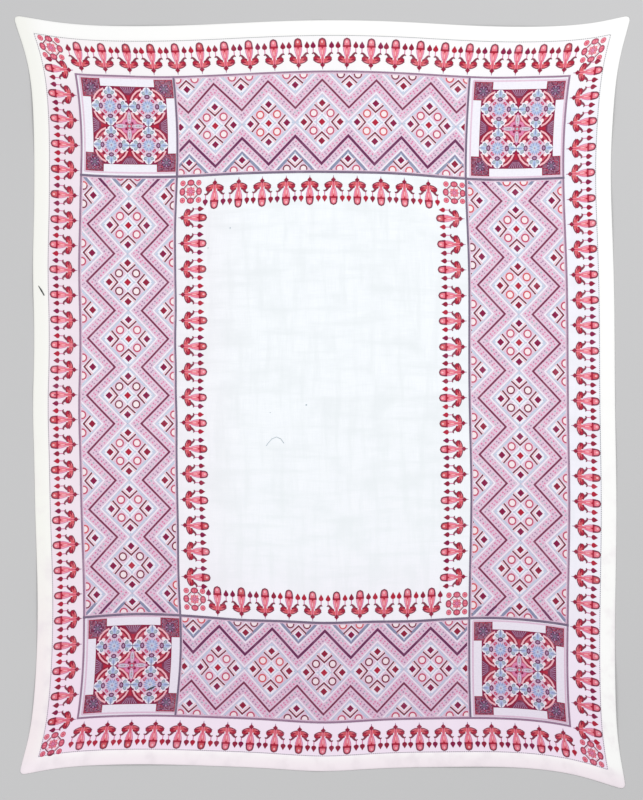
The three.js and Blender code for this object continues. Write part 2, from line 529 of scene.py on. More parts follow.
def bud_chart(spade_thread, head_thread):
    """A bud on two curled leaves between two spades; x is across it and y runs from its spike to its head."""
    body = [
        *strip("mauve", 1, [(0, 0), (0, 3.0)], [0.5, 1.2]),
        diamond("dark_red", 8, 0, 4.4, 2.5, 2.7),
        both_sides("pale_pink", 1, BUD_BODY),
        shape("pink", 2, [(2.9, 21.0), (0.5, 21.0), (0.2, 12.6), (1.3, 12.6)]),
        *strip("pink", 2, [(-1.7, 21.0), (-0.7, 12.8)], [1.6, 0.8]),
        both_sides("pink", 3, [(3.2, 21.6), (2.2, 20.0), (0, 18.2)]),
        both_sides("pink", 4, [(0.6, 14.6), (1.5, 11.4), (1.6, 8.2), (1.1, 5.6)]),
        *strip("rose", 7, [(0, 14.2), (0, 9.5), (0, 6.4)], [0.4, 0.8, 0.7]),
        both_sides("red", 5, [(1.2, 21.6), (0, 19.6)]),
        dome("brown", 3, BUD_BAND, 3.9, BUD_TALL),
        dome(head_thread, 4, BUD_BAND, 2.6, BUD_TALL - 1.4),
        oval("pale_pink", 5, -0.2, BUD_BAND + 4.2, 1.0, 1.3, 8),
        block("dark_red", 7, 0, BUD_BAND, 4.1, 1.0),
        block("red", 8, 0, BUD_BAND - 0.1, 2.6, 0.8),
    ]
    side = [
        *strip("hot_pink", 4, [(3.4, 21.2), (3.2, 18.6), (2.4, 15.4), (1.6, 12.8)], 0.9),
        block("zigzag_maroon", 6, 3.2, BUD_BAND + 1.2, 0.8, 1.2),
        shape("salmon", 3, LEAF_FOOT),
        shape("dark_red", 6, LEAF_END),
        oval("red", 7, 6.2, 11.2, 1.9, 1.3, 10, -0.4),
        oval("salmon", 8, 3.9, 10.2, 1.7, 0.8, 10, 0.15),
        *strip("pink", 5, LEAF_VEIN, [0.4, 0.7, 0.6]),
        *strip("brown", 8, LEAF_LINE, [1.2, 1.0, 0.9, 0.8]),
        *strip("brown", 9, HOOK_LINE, HOOK_WIDTHS),
        *strip("hot_pink", 2, [(SPADE_OUT, 20.8), (SPADE_OUT, 15.9)], 0.9),
        *moved([both_sides(spade_thread, 3, SPADE)], SPADE_OUT, 0),
    ]
    return body + mirrored(side)


# The rows of buds: the way they run, number, places of the first and the last, where their spikes and heads
# end, and how far along the row the first and the last head lean. The heads of the outer rows point at the
# hem, and those of the inner rows at the middle.
BUD_ROWS = [
    ("width", 21, -545.7, 543.8, 741.5, 814.6, 2.3, -1.1),
    ("width", 21, -545.0, 541.8, -752.0, -818.2, 0.0, 0.0),
    ("length", 27, -745.0, 745.8, -565.0, -630.2, 2.1, -1.8),
    ("length", 27, -745.0, 743.6, 565.4, 632.4, 3.0, -1.6),
    ("width", 10, -251.2, 247.1, 498.9, 429.8, -2.3, 0.9),
    ("width", 10, -253.2, 244.8, -510.2, -441.5, -1.6, 0.5),
    ("length", 15, -421.7, 413.5, -333.2, -268.1, -1.4, -1.4),
    ("length", 15, -417.2, 410.6, 326.6, 262.6, -2.5, -2.5),
]


def one_of(choices):
    return choices[int(chance.integers(len(choices)))]


def bud_rows():
    for runs, number, first, last, spike, head, first_lean, last_lean in BUD_ROWS:
        tall = abs(head - spike) / BUD_TALL
        outward = head > spike
        quarters = (0 if outward else 2) if runs == "width" else (3 if outward else 1)
        way = 1 if quarters < 2 else -1
        leans = np.linspace(first_lean, last_lean, number) * way / STITCH / BUD_TALL
        for place, lean in zip(np.linspace(first, last, number), leans):
            at = (place, spike) if runs == "width" else (spike, place)
            chart = bud_chart(one_of(SPADE_THREADS), one_of(HEAD_THREADS))
            leaning = changed(chart, lambda points: points @ [[1, 0], [lean, 1]])
            work(leaning, at + uneven(BUD_OFF), (STITCH * chance.uniform(*BUD_WIDTHS), tall), quarters)


# The rosettes in the corners of both rows of buds: their places across and along the cloth.
ROSETTES = [
    (-606.5, -796.0),
    (-602.7, 792.4),
    (602.0, -793.0),
    (600.4, 790.4),
    (-305.5, -474.0),
    (-307.1, 471.5),
    (303.2, -479.2),
    (305.4, 471.8),
]
ROSETTE_STITCH = (STITCH * 0.97, STITCH * 1.03)


def rosette_chart():
    quarter = [
        oval("brown", 2, 0, 8.5, 3.8, 3.1),
        oval("rose", 3, 0, 8.5, 3.2, 2.5),
        oval("pink", 4, 0, 8.5, 2.2, 1.5, 10),
        *strip("rose", 5, [(0, 6.8), (0, 10.2)], 0.8),
        oval("rose", 2, 8.2, 8.2, 2.8, 2.8),
        oval("pink", 3, 8.2, 8.2, 2.2, 2.2),
        oval("rose", 4, 8.2, 8.2, 1.0, 1.0, 8),
        *strip("brown", 2, [(3.4, 7.0), (7.0, 3.4)], 1.0),
        *strip("pale_pink", 2, [(2.8, 5.8), (5.8, 2.8)], 0.8),
        both_sides("rose", 3, [(0, 5.2), (1.4, 3.8), (1.0, 1.6), (0, 0.8)]),
        oval("pink", 3, 2.6, 2.6, 1.4, 1.4, 8),
        *strip("pale_pink", 4, [(0, 1.6), (0, 4.6)], 0.5),
    ]
    return [oval("hot_pink", 2, 0, 0, 2.6, 2.6, 12), *all_round(quarter)]


def rosettes():
    chart = rosette_chart()
    for place in ROSETTES:
        work(chart, np.array(place), ROSETTE_STITCH)


# The lozenge: half its diagonal, in stitches, and the distances of its parts from its middle.
LOZENGE_HALF = 27.0
LATTICE_OUT = LOZENGE_HALF + 0.3
TIP_DIAMOND_AT = 18.4
CHEVRON_AT = 10.0
CHEVRON_END = (7.8, 17.0)
EYE_AT = 8.5
EYE_OUT = 4.25
EYE_IN = 2.85

# The threads that a lozenge's rings and its outer diamonds may be worked in.
EYE_THREADS = ("rose", "rose", "brown", "salmon")
TIP_THREADS = ("maroon", "maroon", "dark_red")


def lozenge_chart(lattice, lattice_width, eye_thread, tip_thread):
    chevron_x, chevron_y = CHEVRON_END
    tip = [
        diamond(tip_thread, 6, 0, TIP_DIAMOND_AT, 3.6, 3.6),
        diamond("lattice_blue", 4, 0, 24.0, 1.0, 1.0),
        diamond("lattice_blue", 4, 0, 7.0, 1.2, 1.0),
        *chevron("brown", 5, CHEVRON_AT, CHEVRON_END, 1.6),
        *chevron("pale_pink", 5, CHEVRON_AT + 2.5, (chevron_x - 0.6, chevron_y + 2.0), 0.7),
        diamond("blush", 2, EYE_AT, EYE_AT, 7.4, 7.4),
        oval("cream", 4, EYE_AT, EYE_AT, EYE_IN + 0.3, EYE_IN + 0.3, 12),
        *ring(eye_thread, 5, EYE_AT, EYE_AT, EYE_OUT, EYE_IN, 12),
        *strip(lattice, 4, [(16.6, 9.2), (13.0, 12.8), (9.2, 16.6)], lattice_width + 0.4),
    ]
    return [
        diamond("white", 1, 0, 0, LOZENGE_HALF, LOZENGE_HALF),
        *ring(lattice, 3, 0, 0, LATTICE_OUT, LATTICE_OUT - lattice_width * math.sqrt(2), 4),
        *all_round(tip),
        *ring("lattice_blue", 3, 0, 0, 6.9, 5.6, 4),
        diamond("red", 6, 0, 0, 3.5, 3.5),
    ]


# The zigzag bands. Their ground and their pattern stop this short of the frame's lines. The gaps run from the
# middle row's joints to the tips of the rows below or left of it, and above or right of it. The dark row and
# the dark ends, in millimetres at the low and the high end, are worked in deeper blue and purple.
BAND_GAP = 2.4
PATTERN_GAP = 4.8
BANDS = [
    {
        "runs": "width",
        "window": (INNER_LEFT, INNER_RIGHT, INNER_TOP, OUTER_TOP),
        "pitch": 123.9,
        "middle": (-2.4, 621.4),
        "half_across": 63.8,
        "gaps": {-1: 63.1, 1: 65.7},
        "dark_row": -1,
        "dark_ends": (0, 0),
    },
    {
        "runs": "width",
        "window": (INNER_LEFT, INNER_RIGHT, OUTER_BOTTOM, INNER_BOTTOM),
        "pitch": 123.1,
        "middle": (-3.0, -628.6),
        "half_across": 63.8,
        "gaps": {-1: 64.3, 1: 65.1},
        "dark_row": 1,
        "dark_ends": (0, 0),
    },
    {
        "runs": "length",
        "window": (OUTER_LEFT, INNER_LEFT, INNER_BOTTOM, INNER_TOP),
        "pitch": 132.2,
        "middle": (-0.4, -449.9),
        "half_across": 62.5,
        "gaps": {-1: 62.0, 1: 62.0},
        "dark_row": 0,
        "dark_ends": (26, 18),
    },
    {
        "runs": "length",
        "window": (INNER_RIGHT, OUTER_RIGHT, INNER_BOTTOM, INNER_TOP),
        "pitch": 131.4,
        "middle": (-3.6, 447.4),
        "half_across": 62.5,
        "gaps": {-1: 64.3, 1: 63.5},
        "dark_row": 0,
        "dark_ends": (22, 8),
    },
]
LATTICE_WIDTH = 1.5
DARK_LATTICE_WIDTH = 2.3
ZIGZAG_WIDTH = 1.9
DARK_ZIGZAG_WIDTH = 2.5
ZIGZAG_CUTS = 6
DOTS_A_SIDE = 10
DOT_COLOURS = ("hot_pink", "mauve", "hot_pink", "hot_pink", "mauve", "grey_green")

# The rows of dots in a stripe, as shares of its width, and half a step where a row is staggered. Then where
# the first dot lies in its step, how far a dot may stand off its place, and half its least and most size.
DOT_ROWS = [(0.21, 0.0), (0.325, 0.5), (0.675, 0.0), (0.79, 0.5)]
FIRST_DOT = 0.25
DOT_OFF = 0.4
DOT_SIZES = (0.85, 1.15)

# The places of a stripe's white edges and half their width, as shares of its width.
WHITE_EDGES = (0.07, 0.93)
WHITE_EDGE_HALF = 0.034


class Band:
    """One band of lozenges and zigzags; along runs with it, and out is across it from its middle row."""

    def __init__(self, runs, window, pitch, middle, half_across, gaps, dark_row, dark_ends):
        self.runs = runs
        inward = np.array([1, -1, 1, -1])
        self.ground = window + inward * BAND_GAP
        self.window = window + inward * PATTERN_GAP
        self.pitch = pitch
        self.along, self.across = middle
        self.half_along, self.half_across = pitch / 2, half_across
        self.gaps, self.dark_row, self.dark_ends = gaps, dark_row, dark_ends
        self.low, self.high = self.window[:2] if runs == "width" else self.window[2:]
        self.reach = math.ceil((self.high - self.low) / pitch / 2) + 1

    def stretch(self, low, high):
        """The window of a part of the band between two places along it."""
        u_low, u_high, v_low, v_high = self.window
        return (low, high, v_low, v_high) if self.runs == "width" else (u_low, u_high, low, high)

    def lozenges(self, window, dark_end):
        for row in (-1, 0, 1):
            dark = dark_end or (row != 0 and row == self.dark_row)
            lattice = ("steel_blue", DARK_LATTICE_WIDTH) if dark else ("lattice_blue", LATTICE_WIDTH)
            out = row * (self.gaps[row] + self.half_across) if row else 0
            stitch = np.array([self.half_along, self.half_across]) / LOZENGE_HALF
            for k in range(-self.reach, self.reach + 1):
                along = self.along + (k + 0.5 * abs(row)) * self.pitch
                chart = lozenge_chart(*lattice, one_of(EYE_THREADS), one_of(TIP_THREADS))
                at = self.on_axes([along, self.across + out])
                work(chart, at, self.on_axes(stitch), window=window)

    def on_axes(self, points):
        """Points that are given along and across the band, as points across and along the cloth."""
        points = np.array(points)
        return points if self.runs == "width" else points[..., ::-1]

    def lay_along(self, thread, level, points, window):
        lay(thread, level, self.on_axes(points), window)

    def stripes(self, window, dark_end):
        """The zigzags on both sides of the middle row, with white edges and rows of dots."""
        steep = math.hypot(self.half_along, self.half_across) / self.half_along
        for side in (-1, 1):
            dark = dark_end or side == self.dark_row
            gap = self.gaps[side]
            line_half = (DARK_ZIGZAG_WIDTH if dark else ZIGZAG_WIDTH) * STITCH * steep / 2
            lines = [("purple" if dark else "zigzag_maroon", 5, gap / 2, line_half)]
            lines += [("white", 2, gap * edge, gap * WHITE_EDGE_HALF) for edge in WHITE_EDGES]
            for k in range(-2 * self.reach, 2 * self.reach):
                self.zigzag_side(k, side, lines, window)
                self.dots(k, side, window)

    def place(self, k, side, share, offset):
        """A point of a stripe: the zigzag's side k, the share of the way along it, and the offset out."""
        up = 1 - share if k % 2 == 0 else share
        out = self.across + side * (self.half_across * up + offset)
        return self.along + (k + share) * self.half_along, out

    def zigzag_side(self, k, side, lines, window):
        cuts = np.linspace(0, 1, ZIGZAG_CUTS + 1)
        for start, end in zip(cuts, cuts[1:]):
            for thread, level, offset, half in lines:
                near = [self.place(k, side, share, offset - half) for share in (start, end)]
                far = [self.place(k, side, share, offset + half) for share in (end, start)]
                self.lay_along(thread, level, near + far, window)

    def dots(self, k, side, window):
        for across, step in DOT_ROWS:
            for i in range(DOTS_A_SIDE):
                share = (i + FIRST_DOT + step) / DOTS_A_SIDE
                centre = self.place(k, side, share, self.gaps[side] * across) + uneven(DOT_OFF)
                size = STITCH * chance.uniform(*DOT_SIZES)
                self.lay_along(*diamond(one_of(DOT_COLOURS), 4, *centre, size, size), window)

    def weave(self):
        field("blush", 0, *self.ground)
        low, high = self.low + self.dark_ends[0], self.high - self.dark_ends[1]
        for start, end, dark_end in ((self.low, low, True), (low, high, False), (high, self.high, True)):
            if end > start:
                window = self.stretch(start, end)
                self.lozenges(window, dark_end)
                self.stripes(window, dark_end)


# The corner squares, in stitches from their middles: their edge lines, blocks, field and ring flowers.
SQUARE_HALF = (45.2, 46.2)
EDGE_OUT = 1.0
EDGE_LINE = 1.6
BLOCK_HALF = 9.3
FIELD_HALF = (37.4, 38.8)
FLOWER_AT = (18.7, 19.35)
RING_OUT = 18.1
GROUND_OUT = 14.7
ARM_HALO = [
    (0, 18.6), (1.8, 18.2), (3.3, 16.9), (3.8, 15.5),
    (5.6, 15.2), (6.3, 13.4), (5.6, 11.5), (3.0, 9.8),
]
ARM_FILL = [
    (0, 17.6), (1.2, 17.2), (2.2, 16.2), (2.7, 14.7),
    (4.7, 14.2), (5.2, 13.1), (4.6, 11.9), (2.6, 10.9),
]
LOBE_LINE = [(1.5, 11.2), (3.6, 11.3), (4.8, 12.8), (4.0, 14.1), (2.5, 14.0)]
STAR_OUT, STAR_IN = 7.2, 4.4

# A flower's ring: thread, level, and how far in from its outside each thread starts and ends. It is a round
# of short straight sides. Only these sides of each quarter are worked, because the arms break the ring.
RING_THREADS = [
    ("pale_pink", 8, 0.0, 1.7),
    ("dark_red", 9, 1.7, 3.4),
    ("salmon", 8, 3.4, 5.44),
]
RING_SIDES = 20
WORKED_SIDES = (1, 2, 3)

# How far each square lies from the middle of its frame: side across, side along, and both distances.
SQUARES = [(-1, 1, 3.4, 2.6), (1, 1, 2.6, -1.2), (-1, -1, 3.8, 1.4), (1, -1, 1.4, -0.6)]

# The flecks of a block: their count from its middle to its side, the count that its flower keeps clear, their
# step, half their size, and their threads at the block's edge and inside it.
FLECKS = 7
CLEAR_FLECKS = 4
FLECK_STEP = 1.22
FLECK_HALF = 0.56
EDGE_FLECK_THREADS = ("rose", "maroon", "rose")
FLECK_THREADS = ("mauve", "mauve", "purple", "mauve", "rose", "slate")


def block_chart():
    flecks = []
    for i in range(-FLECKS, FLECKS + 1):
        for j in range(-FLECKS, FLECKS + 1):
            if math.hypot(i, j) > CLEAR_FLECKS:
                choices = EDGE_FLECK_THREADS if FLECKS in (abs(i), abs(j)) else FLECK_THREADS
                at = (i * FLECK_STEP, j * FLECK_STEP)
                flecks.append(diamond(one_of(choices), 7, *at, FLECK_HALF, FLECK_HALF))
    petals = [
        oval("mauve", 7, 0, 3.3, 0.8, 1.3, 8),
        oval("slate", 7, 2.3, 2.3, 0.8, 1.3, 8, -math.pi / 4),
    ]
    return [
        block("brown", 5, 0, 0, BLOCK_HALF, BLOCK_HALF),
        oval("purple", 6, 0, 0, 4.8, 4.8, 12),
        oval("slate", 8, 0, 0, 1.9, 1.9, 8),
        *all_round(petals),
        *flecks,
    ]


def star(thread, level, points_out, outer, inner):
    """A star with its points at the outer radius and the notches between them at the inner one."""
    step = math.pi / points_out
    tips = round_points(0, 0, outer, outer, points_out)
    notches = round_points(0, 0, inner, inner, points_out, step)
    return shape(thread, level, np.stack([tips, notches], axis=1).reshape(-1, 2))


def ring_flower_chart():
    """One of a square's four flowers: a star and four arms inside a broken ring."""
    rings = [
        piece
        for thread, level, start, end in RING_THREADS
        for side, piece in enumerate(ring(thread, level, 0, 0, RING_OUT - start, RING_OUT - end, RING_SIDES))
        if side % (RING_SIDES // 4) in WORKED_SIDES
    ]
    arm = [
        both_sides("white", 10, ARM_HALO),
        both_sides("lattice_blue", 10.3, ARM_FILL),
        oval("grey_green", 11, 3.0, 12.7, 1.4, 1.7, 10, -0.8),
        oval("grey_green", 11, -3.0, 12.7, 1.4, 1.7, 10, 0.8),
        oval("sky_blue", 12, 0, 14.2, 1.6, 2.6, 10),
        *strip("steel_blue", 13, [(0, 13.4), (0, 16.2), (0, FLOWER_AT[0])], [0.6, 1.0, 1.0]),
        *mirrored(strip("steel_blue", 12.5, LOBE_LINE, 0.7)),
        oval("purple", 13.2, 0, 9.3, 2.9, 2.2, 8),
        oval("mauve", 14, 0, 9.3, 1.6, 1.1, 8),
    ]
    quadrant = [
        oval("rose", 10.6, 8.3, 8.3, 4.2, 2.1, 10, -math.pi / 4),
        oval("cream", 11.5, 11.0, 6.4, 1.9, 1.5, 8),
        oval("cream", 11.5, 6.4, 11.0, 1.5, 1.9, 8),
        oval("rose", 11, 5.2, 5.2, 2.2, 1.5, 8, -math.pi / 4),
        diamond("hot_pink", 12, 5.6, 5.6, 1.0, 1.0),
        oval("dark_red", 12, 7.9, 7.9, 1.6, 1.6, 8),
    ]
    ray_ends = zip(round_points(0, 0, 2.6, 2.6, 8, math.pi / 8), round_points(0, 0, 6.2, 6.2, 8, math.pi / 8))
    rays = [piece for ends in ray_ends for piece in strip("steel_blue", 13, ends, [0.3, 0.8])]
    chart = [
        oval("blush", 6, 0, 0, GROUND_OUT, GROUND_OUT, RING_SIDES),
        *rings,
        *all_round(arm),
        *all_round(quadrant),
        star("sky_blue", 12.5, 16, STAR_OUT, STAR_IN),
        star("lattice_blue", 13.5, 8, 3.8, 2.0),
        *rays,
        oval("mauve", 14, 0, 0, 0.9, 0.9, 8),
    ]
    taller = (1, FLOWER_AT[1] / FLOWER_AT[0])
    return changed(chart, lambda points: points * taller)


def fan_chart():
    """The ribbed fan between two flowers, with its base on the field's upper side."""
    base = FIELD_HALF[1]
    ground = [(13.0, base), (6.6, base - 5.4), (2.6, base - 11), (0, base - 17.5)]
    fan = [(8.8, base - 0.3), (5.8, base - 4.4), (2.4, base - 7.8), (0, base - 9.0)]
    drop = [(1.7, base - 8.6), (1.0, base - 12.5), (0, base - 16.4)]
    ribs = [
        piece
        for side in range(-3, 4)
        for piece in strip("mauve", 6, [(side * 0.9, base - 6.4), (side * 2.3, base - 0.6)], [0.4, 0.7])
    ]
    return [
        both_sides("dark_red", 4, ground),
        both_sides("zigzag_maroon", 5, fan),
        *ribs,
        both_sides("red", 6, drop),
    ]


def heart_chart():
    """The middle of a square, where the four flowers leave a cross between them."""
    arm = [
        shape("hot_pink", 5, [(1.6, 1.6), (7.4, 2.4), (6.0, 6.0), (2.4, 7.4)]),
        oval("mauve", 6, 0, 8.4, 2.4, 6.4),
        oval("blush", 7, 0, 8.4, 1.8, 5.8),
        oval("grey_green", 8, 0, 9.0, 1.0, 3.6, 8),
        *[diamond("rose", 9, 0, place, 0.6, 0.6) for place in (4.4, 7.2, 10.0)],
        oval("maroon", 9, 3.0, 3.0, 1.3, 1.3, 8),
        diamond("hot_pink", 8, 0, 14.6, 1.2, 1.2),
    ]
    return [
        diamond("rose", 4, 0, 0, 15.4, 15.4),
        *all_round(arm),
        diamond("grey_green", 9, 0, 0, 1.6, 1.6),
    ]


def corner_square_chart():
    half_x, half_y = SQUARE_HALF
    far_x, far_y = half_x + EDGE_OUT, half_y + EDGE_OUT
    chart = []
    for side in (1, -1):
        chart += strip("blush", 2, [(-far_x, side * far_y), (far_x, side * far_y)], EDGE_LINE)
    for side in (-1, 1):
        chart += strip("blush", 2.5, [(side * far_x, -far_y), (side * far_x, far_y)], EDGE_LINE)
    for side_x in (-1, 1):
        for side_y in (-1, 1):
            chart += moved(block_chart(), side_x * (half_x - BLOCK_HALF), side_y * (half_y - BLOCK_HALF))
            chart += moved(ring_flower_chart(), side_x * FLOWER_AT[0], side_y * FLOWER_AT[1])
    chart += turned(fan_chart(), 0) + turned(fan_chart(), 2)
    chart += moved(turned(fan_chart(), 1), FIELD_HALF[1] - FIELD_HALF[0], 0)
    chart += moved(turned(fan_chart(), 3), FIELD_HALF[0] - FIELD_HALF[1], 0)
    return chart + heart_chart()


def corner_squares():
    chart = corner_square_chart()
    half_u, half_v = np.array(FIELD_HALF) * STITCH
    for side_u, side_v, off_u, off_v in SQUARES:
        low_u, high_u = (OUTER_LEFT, INNER_LEFT) if side_u < 0 else (INNER_RIGHT, OUTER_RIGHT)
        low_v, high_v = (OUTER_BOTTOM, INNER_BOTTOM) if side_v < 0 else (INNER_TOP, OUTER_TOP)
        middle_u, middle_v = (low_u + high_u) / 2 + off_u, (low_v + high_v) / 2 + off_v
        field("white", 1, low_u + BAND_GAP, high_u - BAND_GAP, low_v + BAND_GAP, high_v - BAND_GAP)
        field("maroon", 3, middle_u - half_u, middle_u + half_u, middle_v - half_v, middle_v + half_v)
        work(chart, np.array([middle_u, middle_v]))


# The hem's stitches: depth from the edge, and their length, gap and width.
STITCH_DEPTH = 34.6
HEM_STITCH_LONG = 3.4
HEM_STITCH_GAP = 1.3
HEM_STITCH_WIDE = 1.5


def hem_stitches():
    half = HEM_STITCH_WIDE / 2
    reach_u, reach_v = HALF_WIDTH - STITCH_DEPTH, HALF_LENGTH - STITCH_DEPTH
    for level, runs, reach, out in ((0, "width", reach_u, reach_v), (1, "length", reach_v, reach_u)):
        for start in np.arange(-reach, reach, HEM_STITCH_LONG + HEM_STITCH_GAP):
            end = min(start + HEM_STITCH_LONG, reach)
            for side in (-out, out):
                straight_thread("hem_grey", level, runs, side, start, end, half)


# Loose threads: thread, line in the flat cloth, and widths along it.
LOOSE_THREADS = [
    ("dark", [(-655, 247), (-648.5, 237), (-642, 225.5)], [1.4, 3.2, 2.2]),
    ("brown", [(-532, 594), (-527, 590.5), (-521, 591), (-516, 597), (-514, 603)], [1.0, 1.5, 1.3, 1.3, 0.9]),
    ("dark", [(-411.6, -686.3), (-404.5, -682.4), (-398, -679.2), (-390.4, -675)], [0.8, 4.2, 4.4, 0.8]),
    ("grey_green", [(-134, -116), (-127, -107), (-120, -99.5), (-110, -95), (-100, -99), (-93, -109)], 1.1),
]

# Small marks: thread, place in the flat cloth, and half the length and width.
SPECKS = [
    ("grey_green", -40.5, -21, 2.0, 1.6),
    ("grey_green", -123, -40, 1.0, 0.9),
    ("grey_green", -215, 385, 1.1, 1.9),
    ("grey_green", -265, 341, 1.3, 1.3),
    ("dark", 345, -55, 1.9, 1.6),
]
MARK_LEVEL = 16


def loose_threads():
    for thread, line, widths in LOOSE_THREADS:
        for piece in strip(thread, MARK_LEVEL, line, widths):
            lay(*piece)
    for thread, u, v, long, wide in SPECKS:
        lay(*oval(thread, MARK_LEVEL, u, v, long, wide, 8))


def linear(rgb):
    """Light as the renderer counts it, from a colour out of 255."""
    return [((c / 255 + 0.055) / 1.055) ** 2.4 if c > 10 else c / 255 / 12.92 for c in rgb] + [1.0]


# The light that falls on the cloth, by which a seen colour is divided to find the thread's own, and the most
# of it that any thread gives back.
LIGHT_ON_CLOTH = 1.06
WHITEST = 0.93


def dyed(rgb):
    return [min(c / LIGHT_ON_CLOTH, WHITEST) for c in linear(rgb)[:3]] + [1.0]


# The name of the map that holds each point's place in the flat cloth.
MAP_NAME = "cloth"

# The sockets of a colour mix: its share and its two colours, and its result.
MIX_IN = (0, 6, 7)
MIX_OUT = 2


def feed(tree, sockets, values):
    """Links each socket to the output of another node, or sets it to a plain value."""
    for socket, value in zip(sockets, values):
        if hasattr(value, "is_linked"):
            tree.links.new(value, socket)
        else:
            socket.default_value = value


def math_node(tree, operation, *values):
    node = tree.nodes.new("ShaderNodeMath")
    node.operation = operation
    feed(tree, node.inputs, values)
    return node.outputs[0]


def mix_node(tree, share, first, second, blend="MIX"):
    node = tree.nodes.new("ShaderNodeMix")
    node.data_type = "RGBA"
    node.blend_type = blend
    feed(tree, [node.inputs[number] for number in MIX_IN], (share, first, second))
    return node.outputs[MIX_OUT]


def range_node(tree, value, low, high, to_low, to_high):
    node = tree.nodes.new("ShaderNodeMapRange")
    node.interpolation_type = "SMOOTHSTEP"
    feed(tree, node.inputs, (value, low, high, to_low, to_high))
    return node.outputs[0]


def place_on_cloth(tree):
    """The place in the flat cloth, in metres: a vector, and its two parts."""
    place = tree.nodes.new("ShaderNodeUVMap")
    place.uv_map = MAP_NAME
    parts = tree.nodes.new("ShaderNodeSeparateXYZ")
    tree.links.new(place.outputs[0], parts.inputs[0])
    return place.outputs[0], parts.outputs[0], parts.outputs[1]


def streaks(tree, place, across, along, detail):
    """Noise drawn out along the threads: so many to the metre across and along."""
    stretch = tree.nodes.new("ShaderNodeVectorMath")
    stretch.operation = "MULTIPLY"
    stretch.inputs[1].default_value = (across, along, 1)
    tree.links.new(place, stretch.inputs[0])
    noise = tree.nodes.new("ShaderNodeTexNoise")
    noise.inputs["Scale"].default_value = 1.0
    noise.inputs["Detail"].default_value = detail
    tree.links.new(stretch.outputs[0], noise.inputs["Vector"])
    return noise.outputs[0]


def patches(tree, place, across, along, detail, low, high, strength):
    """A mask of soft patches: how fine, the noise where they start and are full, and how strong."""
    return range_node(tree, streaks(tree, place, across, along, detail), low, high, 0.0, strength)


def new_group(name, kind, inputs, outputs):
    """A node group with sockets of one kind: its tree, and the nodes for its inputs and its outputs."""
    tree = bpy.data.node_groups.new(name, "ShaderNodeTree")
    for way, sockets in (("INPUT", inputs), ("OUTPUT", outputs)):
        for socket in sockets:
            tree.interface.new_socket(socket, in_out=way, socket_type=kind)
    return tree, tree.nodes.new("NodeGroupInput"), tree.nodes.new("NodeGroupOutput")


# The weave's slubs: how many to the metre along a thread and across the threads, their detail, and the noise
# where their shade starts and is full. The threads' crossings rise by this share of the slubs.
SLUBS_ALONG = 26
SLUBS_ACROSS = 640
SLUB_DETAIL = 2
SLUB_RANGE = (0.72, 1.28)
CROSSING_SHARE = 0.35


def weave_group():
    """The plain weave: its height, and the shade of its thicker and thinner threads."""
    tree, into, out = new_group("plain weave", "NodeSocketFloat", ["Threads"], ["Height", "Shade"])
    place, u, v = place_on_cloth(tree)
    turns = math_node(tree, "MULTIPLY", into.outputs[0], 2 * math.pi)
    warp = math_node(tree, "SINE", math_node(tree, "MULTIPLY", u, turns))
    weft = math_node(tree, "SINE", math_node(tree, "MULTIPLY", v, turns))
    crossing = math_node(tree, "MULTIPLY", warp, weft)
    slub_across = streaks(tree, place, SLUBS_ALONG, SLUBS_ACROSS, SLUB_DETAIL)
    slub_along = streaks(tree, place, SLUBS_ACROSS, SLUBS_ALONG, SLUB_DETAIL)
    slubs = math_node(tree, "ADD", slub_across, slub_along)
    height = math_node(tree, "ADD", math_node(tree, "MULTIPLY", crossing, CROSSING_SHARE), slubs)
    tree.links.new(height, out.inputs[0])
    tree.links.new(range_node(tree, slubs, *SLUB_RANGE, 0.0, 1.0), out.inputs[1])
    return tree


# Where a thread has faded and where its dye is deeper: how many patches to the metre across and along the
# cloth, their detail, the noise where they start and are full, and how strong they are.
FADED_PATCHES = (24, 24, 3, 0.45, 0.75, 0.55)
DEEP_FLECKS = (210, 300, 2, 0.35, 0.75, 0.5)

# What the threads' colours are multiplied by at the cloth's lower end, and the places, in metres from the
# middle, where that is full and where it ends.
LOWER_TINT = (0.88, 0.82, 0.87, 1)
LOWER_TINT_PART = (-0.85, 0.1)


def wear_and_lower_darkening_group():
    """A dyed thread's colour where it has faded or taken more dye, and darker towards the cloth's lower end.
    """
    tree, into, out = new_group("worn dye and lower darkening", "NodeSocketColor", ["Dye", "Faded", "Deep"], ["Colour"])
    place, _, v = place_on_cloth(tree)
    lower = range_node(tree, v, *LOWER_TINT_PART, 1.0, 0.0)
    faded = mix_node(tree, patches(tree, place, *FADED_PATCHES), into.outputs[0], into.outputs[1])
    flecked = mix_node(tree, patches(tree, place, *DEEP_FLECKS), faded, into.outputs[2])
    # The threads are made darker towards the cloth's lower end.
    tree.links.new(mix_node(tree, lower, flecked, LOWER_TINT, "MULTIPLY"), out.inputs[0])
    return tree


weave = weave_group()
wear_and_lower_darkening = wear_and_lower_darkening_group()

# The cloth's finish: its weave, the weave's depth in millimetres and how strongly it shows, how dull the
# ground and the pattern's threads are, and their shine.
THREADS_A_METRE = 1100
WEAVE_RELIEF = 0.05
WEAVE_STRENGTH = 0.35
GROUND_ROUGHNESS = 0.92
THREAD_ROUGHNESS = 0.8
SHINE = 0.2

# A thread's faded colour lies this share of the way to a pale grey. Its deep one is this share of its dye,
# and so much more where the dye is white.
FADED_GREY = 246
FADED_SHARE = 0.25
DEEP_SHARE = 0.82
PALE_DEEP_SHARE = 0.13


